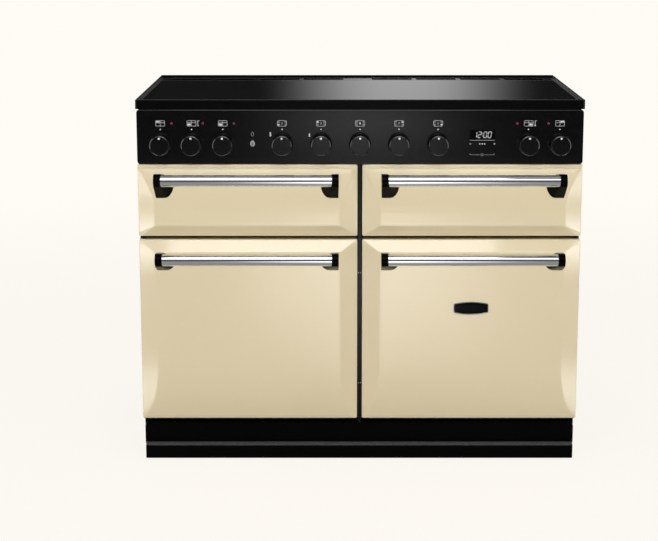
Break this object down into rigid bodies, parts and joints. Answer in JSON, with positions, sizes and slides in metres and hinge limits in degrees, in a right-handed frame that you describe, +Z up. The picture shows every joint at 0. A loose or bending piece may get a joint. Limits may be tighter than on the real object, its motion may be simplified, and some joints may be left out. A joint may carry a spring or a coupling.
{
  "type": "induction range cooker",
  "caption": "Freestanding wide range cooker with induction hob, side-opening oven doors, drop-down grill and slow oven doors, bar handles, control knobs and a storage drawer.",
  "frame": {"origin": "bottom centre of the whole outline, with the feet on the floor", "axes": "+X to the right seen from the front, +Y from the front to the wall, +Z up"},
  "size_m": [1.1, 0.6766, 0.92],
  "materials": {
    "enamel_cream": "gloss vitreous enamel",
    "enamel_black": "gloss enamel",
    "plastic_black": "glossy moulding",
    "handle_chrome": "polished",
    "hob_glass": "polished black glass ceramic",
    "clock_window": "smoked window",
    "neon_red": "clear red lens",
    "oven_enamel": "speckled oven enamel",
    "galvanised": "zinc coated sheet",
    "wire_chrome": "plated wire",
    "bright_steel": "plain steel",
    "element_steel": "heat-darkened sheath",
    "seal_fibre": "woven heat-proof seal",
    "foot_rubber": "dull",
    "switch_body": "moulded",
    "module_board": "boards in a tray",
    "coil_copper": "wound wire on a plastic former",
    "box_grey": "moulded",
    "motor_steel": "pressed",
    "lamp_glass": "pressed glass",
    "fan_alu": "mill"
  },
  "bodies": {
    "casing": {"base_tray": "galvanised", "side_panels": "enamel_black", "panel_returns": "enamel_black", "back_panel": "galvanised", "front_frame": "enamel_black", "plinth": "enamel_black", "levelling_feet": "foot_rubber", "hob_frame": "enamel_black", "hob_glass": "hob_glass", "hob_vent_strip": "enamel_black", "induction_coils": "coil_copper", "induction_modules": "module_board", "control_panel": "enamel_black", "control_switches": "switch_body", "clock_display": "clock_window", "indicator_lamps": "neon_red", "terminal_box": "box_grey", "door_seals": "seal_fibre", "hinge_brackets": "enamel_black", "left_oven_cavity": "oven_enamel", "right_oven_cavity": "oven_enamel", "slow_oven_cavity": "oven_enamel", "grill_cavity": "oven_enamel", "racks_and_shelves": "wire_chrome", "fan_covers": "oven_enamel", "fan_motors": "motor_steel", "heating_elements": "element_steel", "oven_lamps": "lamp_glass", "drawer_runners": "bright_steel"},
    "left_oven_door": {"left_oven_door": "enamel_cream", "left_oven_liner": "oven_enamel", "left_oven_bar": "handle_chrome", "left_oven_brackets": "plastic_black"},
    "right_oven_door": {"right_oven_door": "enamel_cream", "right_oven_liner": "oven_enamel", "right_oven_bar": "handle_chrome", "right_oven_brackets": "plastic_black"},
    "grill_door": {"grill_door": "enamel_cream", "grill_liner": "oven_enamel", "grill_bar": "handle_chrome", "grill_brackets": "plastic_black"},
    "slow_oven_door": {"slow_oven_door": "enamel_cream", "slow_oven_liner": "oven_enamel", "slow_oven_bar": "handle_chrome", "slow_oven_brackets": "plastic_black"},
    "grill_carriage": {"grill_carriage": "wire_chrome"},
    "drawer": {"drawer_box": "galvanised", "drawer_front": "enamel_black"},
    "left_oven_fan": {"left_oven_fan": "fan_alu"},
    "right_oven_fan": {"right_oven_fan": "fan_alu"},
    "grill_knob": {"grill_knob": "plastic_black"},
    "left_heat_knob": {"left_heat_knob": "plastic_black"},
    "left_mode_knob": {"left_mode_knob": "plastic_black"},
    "hob_knob_1": {"hob_knob_1": "plastic_black"},
    "hob_knob_2": {"hob_knob_2": "plastic_black"},
    "hob_knob_3": {"hob_knob_3": "plastic_black"},
    "hob_knob_4": {"hob_knob_4": "plastic_black"},
    "hob_knob_5": {"hob_knob_5": "plastic_black"},
    "right_heat_knob": {"right_heat_knob": "plastic_black"},
    "slow_oven_knob": {"slow_oven_knob": "plastic_black"}
  },
  "joints": [
    {"name": "left_oven_door_hinge", "type": "hinge", "parent": "casing", "child": "left_oven_door", "pos_m": [-0.538, -0.24175, 0.34175], "axis": [0, 0, -1], "range_deg": [0, 95]},
    {"name": "right_oven_door_hinge", "type": "hinge", "parent": "casing", "child": "right_oven_door", "pos_m": [0.538, -0.24175, 0.34175], "axis": [0, 0, 1], "range_deg": [0, 95]},
    {"name": "grill_door_hinge", "type": "hinge", "parent": "casing", "child": "grill_door", "pos_m": [-0.2765, -0.25875, 0.5865], "axis": [1, 0, 0], "range_deg": [0, 90]},
    {"name": "slow_oven_door_hinge", "type": "hinge", "parent": "casing", "child": "slow_oven_door", "pos_m": [0.2765, -0.25875, 0.5865], "axis": [1, 0, 0], "range_deg": [0, 90]},
    {"name": "grill_carriage_slide", "type": "slide", "parent": "casing", "child": "grill_carriage", "axis": [0, -1, 0], "range_m": [0, 0.19]},
    {"name": "drawer_slide", "type": "slide", "parent": "casing", "child": "drawer", "axis": [0, -1, 0], "range_m": [0, 0.35]},
    {"name": "left_oven_fan_spin", "type": "hinge", "parent": "casing", "child": "left_oven_fan", "pos_m": [-0.2765, 0.21325, 0.34175], "axis": [0, 1, 0], "continuous": true},
    {"name": "right_oven_fan_spin", "type": "hinge", "parent": "casing", "child": "right_oven_fan", "pos_m": [0.2765, 0.21325, 0.34175], "axis": [0, 1, 0], "continuous": true},
    {"name": "grill_knob_turn", "type": "hinge", "parent": "casing", "child": "grill_knob", "pos_m": [-0.489, -0.26175, 0.811], "axis": [0, 1, 0], "range_deg": [0, 270]},
    {"name": "left_heat_knob_turn", "type": "hinge", "parent": "casing", "child": "left_heat_knob", "pos_m": [-0.4125, -0.26175, 0.811], "axis": [0, 1, 0], "range_deg": [0, 270]},
    {"name": "left_mode_knob_turn", "type": "hinge", "parent": "casing", "child": "left_mode_knob", "pos_m": [-0.336, -0.26175, 0.811], "axis": [0, 1, 0], "range_deg": [0, 270]},
    {"name": "hob_knob_1_turn", "type": "hinge", "parent": "casing", "child": "hob_knob_1", "pos_m": [-0.191, -0.26175, 0.811], "axis": [0, 1, 0], "range_deg": [0, 270]},
    {"name": "hob_knob_2_turn", "type": "hinge", "parent": "casing", "child": "hob_knob_2", "pos_m": [-0.0955, -0.26175, 0.811], "axis": [0, 1, 0], "range_deg": [0, 270]},
    {"name": "hob_knob_3_turn", "type": "hinge", "parent": "casing", "child": "hob_knob_3", "pos_m": [0, -0.26175, 0.811], "axis": [0, 1, 0], "range_deg": [0, 270]},
    {"name": "hob_knob_4_turn", "type": "hinge", "parent": "casing", "child": "hob_knob_4", "pos_m": [0.0955, -0.26175, 0.811], "axis": [0, 1, 0], "range_deg": [0, 270]},
    {"name": "hob_knob_5_turn", "type": "hinge", "parent": "casing", "child": "hob_knob_5", "pos_m": [0.191, -0.26175, 0.811], "axis": [0, 1, 0], "range_deg": [0, 270]},
    {"name": "right_heat_knob_turn", "type": "hinge", "parent": "casing", "child": "right_heat_knob", "pos_m": [0.4125, -0.26175, 0.811], "axis": [0, 1, 0], "range_deg": [0, 270]},
    {"name": "slow_oven_knob_turn", "type": "hinge", "parent": "casing", "child": "slow_oven_knob", "pos_m": [0.489, -0.26175, 0.811], "axis": [0, 1, 0], "range_deg": [0, 270]}
  ],
  "couplings": [
    {"joint": "grill_carriage_slide", "follows": "grill_door_hinge", "m_per_rad": 0.12}
  ]
}
